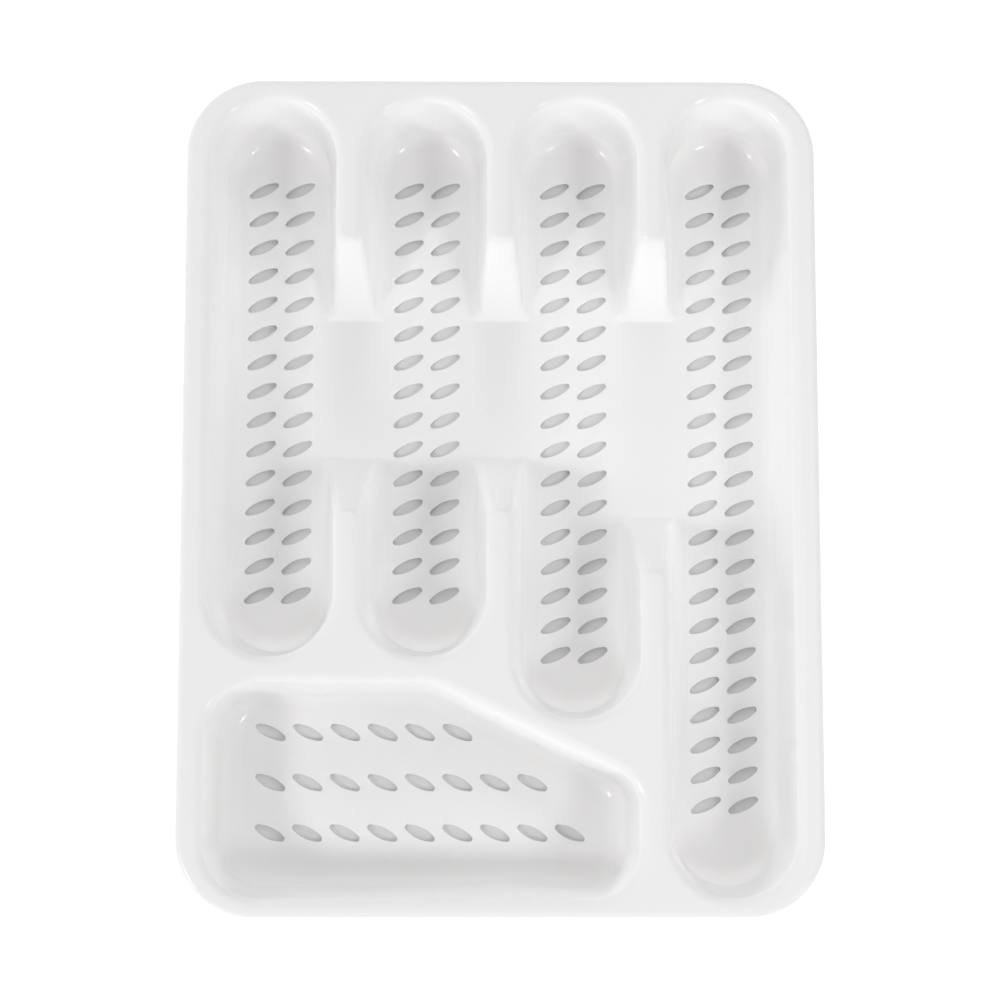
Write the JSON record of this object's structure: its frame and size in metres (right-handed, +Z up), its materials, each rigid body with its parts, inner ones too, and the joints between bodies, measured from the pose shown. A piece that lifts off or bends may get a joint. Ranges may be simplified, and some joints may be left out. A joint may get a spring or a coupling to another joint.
{
  "type": "cutlery tray",
  "caption": "White glossy plastic cutlery tray: long round-ended compartments side by side, a wide one in front with a slanted edge, drain holes, and finger channels across the dividers.",
  "frame": {"origin": "middle of the tray in plan, on the surface that the compartment floors rest on", "axes": "+Z up, +Y towards the rear along the long compartments, +X towards the longest compartment"},
  "size_m": [0.25, 0.33, 0.04],
  "materials": {
    "white_plastic": "smooth injection-moulded white plastic with a soft gloss"
  },
  "bodies": {
    "root": {"rim_deck": "white_plastic", "rim_skirt": "white_plastic", "fork_tub_wall": "white_plastic", "fork_tub_floor": "white_plastic", "spoon_tub_rear_wall": "white_plastic", "spoon_tub_front_wall": "white_plastic", "spoon_tub_floor": "white_plastic", "knife_tub_rear_wall": "white_plastic", "knife_tub_front_wall": "white_plastic", "knife_tub_floor": "white_plastic", "utensil_tub_wall": "white_plastic", "utensil_tub_floor": "white_plastic", "teaspoon_tub_wall": "white_plastic", "teaspoon_tub_floor": "white_plastic", "left_finger_channel_floor": "white_plastic", "left_finger_channel_rear_ramp": "white_plastic", "left_finger_channel_front_ramp": "white_plastic", "middle_finger_channel_floor": "white_plastic", "middle_finger_channel_rear_ramp": "white_plastic", "middle_finger_channel_front_ramp": "white_plastic", "right_finger_channel_floor": "white_plastic", "right_finger_channel_rear_ramp": "white_plastic", "right_finger_channel_front_ramp": "white_plastic"}
  },
  "joints": []
}
